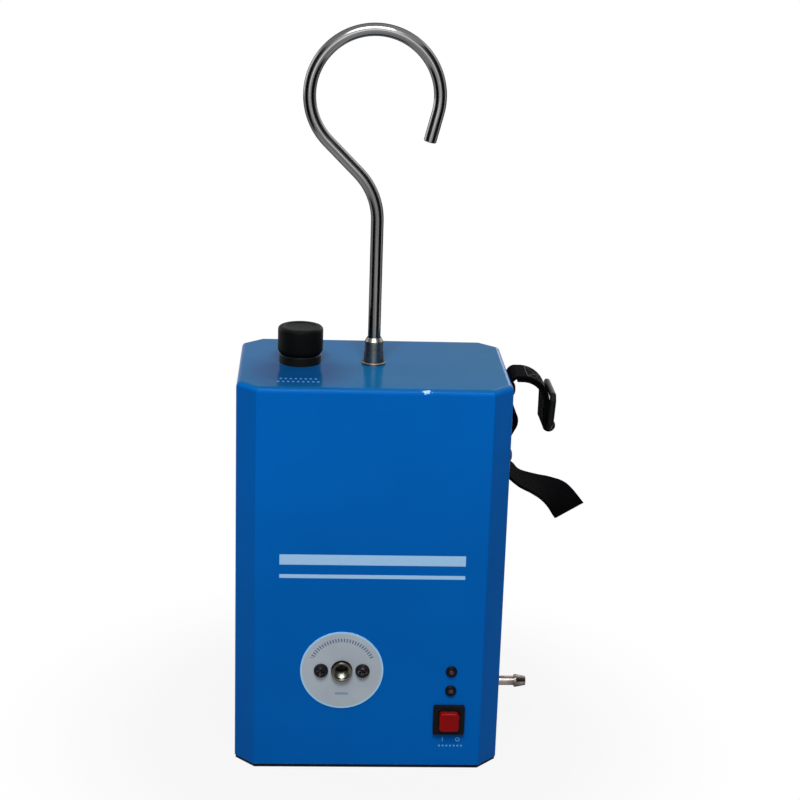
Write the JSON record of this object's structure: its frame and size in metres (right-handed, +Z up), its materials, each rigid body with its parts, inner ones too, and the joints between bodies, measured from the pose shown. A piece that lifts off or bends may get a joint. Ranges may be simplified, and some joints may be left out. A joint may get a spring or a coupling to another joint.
{
  "type": "smoke leak detector",
  "caption": "Portable smoke machine for finding leaks: folded steel case with a swivelling hanging hook, oil filler cap, gauge port, push button, barbed outlet and webbing strap.",
  "frame": {"origin": "middle of the base plate underside, on the surface the case stands on", "axes": "+Z up along the hook, +X towards the side with the barbed outlet and the strap, -Y towards the front with the gauge port and the button"},
  "size_m": [0.2002, 0.1176, 0.4125],
  "materials": {
    "blue_paint": "gloss enamel",
    "black_paint": "satin",
    "dark_steel": "dark drawn steel",
    "zinc_steel": "zinc plated",
    "black_screw": "black oxide",
    "nickel": "nickel plated",
    "label_plate": "satin with printed rim",
    "black_plastic": "moulded",
    "red_plastic": "moulded",
    "lens": "tinted",
    "webbing": "woven webbing",
    "seal_rubber": "matt",
    "hose_rubber": "extruded",
    "tank_alloy": "machined",
    "brass": "machined",
    "board_green": "coated board",
    "relay_blue": "moulded",
    "terminal_green": "moulded",
    "lead_sleeve": "sleeved",
    "spring_steel": "drawn"
  },
  "bodies": {
    "case": {"housing_shell": "blue_paint", "base_plate": "black_paint", "base_screws": "black_screw", "corner_blocks": "zinc_steel", "rear_cover": "blue_paint", "rear_cover_screws": "black_screw", "hook_bush": "dark_steel", "hook_load_plate": "zinc_steel", "hook_bush_nut": "zinc_steel", "filler_neck": "black_plastic", "filler_neck_nut": "black_plastic", "port_plate": "label_plate", "gauge_port": "nickel", "port_screws": "black_screw", "lamp_bezels": "black_plastic", "lamp_lenses": "lens", "lamp_nuts": "zinc_steel", "switch_bezel": "black_plastic", "switch_spring": "spring_steel", "switch_nut": "black_plastic", "switch_contacts": "black_plastic", "smoke_outlet": "nickel", "outlet_nut": "zinc_steel", "strap": "webbing", "strap_washers": "zinc_steel", "strap_screws": "black_screw", "power_socket": "nickel", "socket_insulator": "black_plastic", "socket_pins": "brass", "socket_nut": "zinc_steel", "chassis_plate": "zinc_steel", "oil_tank": "tank_alloy", "tank_gasket": "seal_rubber", "tank_lid": "tank_alloy", "heater_plug": "brass", "tank_clamp": "zinc_steel", "pump_motor": "zinc_steel", "pump_head": "black_plastic", "pump_clamp": "zinc_steel", "control_board": "board_green", "board_standoffs": "brass", "inner_screws": "zinc_steel", "relay": "relay_blue", "capacitor": "black_paint", "terminal_block": "terminal_green", "smoke_tee": "brass", "check_valve": "black_plastic", "pressure_hoses": "hose_rubber", "filler_hose": "hose_rubber", "hose_clips": "zinc_steel", "leads": "lead_sleeve"},
    "hook": {"hook_rod": "dark_steel", "hook_sleeve": "dark_steel", "hook_washer": "zinc_steel", "hook_locknut": "zinc_steel"},
    "cap_liner": {"cap_liner": "seal_rubber"},
    "filler_cap": {"filler_cap": "black_plastic"},
    "button": {"switch_button": "red_plastic"},
    "ring": {"strap_ring": "black_plastic"},
    "rotor": {"pump_rotor": "dark_steel"}
  },
  "joints": [
    {"name": "hook_swivel", "type": "hinge", "parent": "case", "child": "hook", "pos_m": [0, 0, 0.225], "axis": [0, 0, 1], "continuous": true},
    {"name": "cap_lift", "type": "slide", "parent": "case", "child": "cap_liner", "axis": [0, 0, 1], "range_m": [0, 0.005]},
    {"name": "cap_turn", "type": "hinge", "parent": "cap_liner", "child": "filler_cap", "pos_m": [-0.041, 0.001, 0.23], "axis": [0, 0, 1], "range_deg": [0, 720]},
    {"name": "button_press", "type": "slide", "parent": "case", "child": "button", "axis": [0, 1, 0], "range_m": [0, 0.0025], "stiffness_N_per_m": 300, "springref_m": -0.002, "deforming": ["switch_spring"]},
    {"name": "ring_flip", "type": "hinge", "parent": "case", "child": "ring", "pos_m": [0.09908, 0, 0.1938], "axis": [0, 1, 0], "range_deg": [0, 150]},
    {"name": "rotor_spin", "type": "hinge", "parent": "case", "child": "rotor", "pos_m": [0.02, 0.022, 0.1], "axis": [0, 0, 1], "continuous": true}
  ],
  "couplings": [
    {"joint": "cap_turn", "follows": "cap_lift", "rad_per_m": 2513.3}
  ]
}
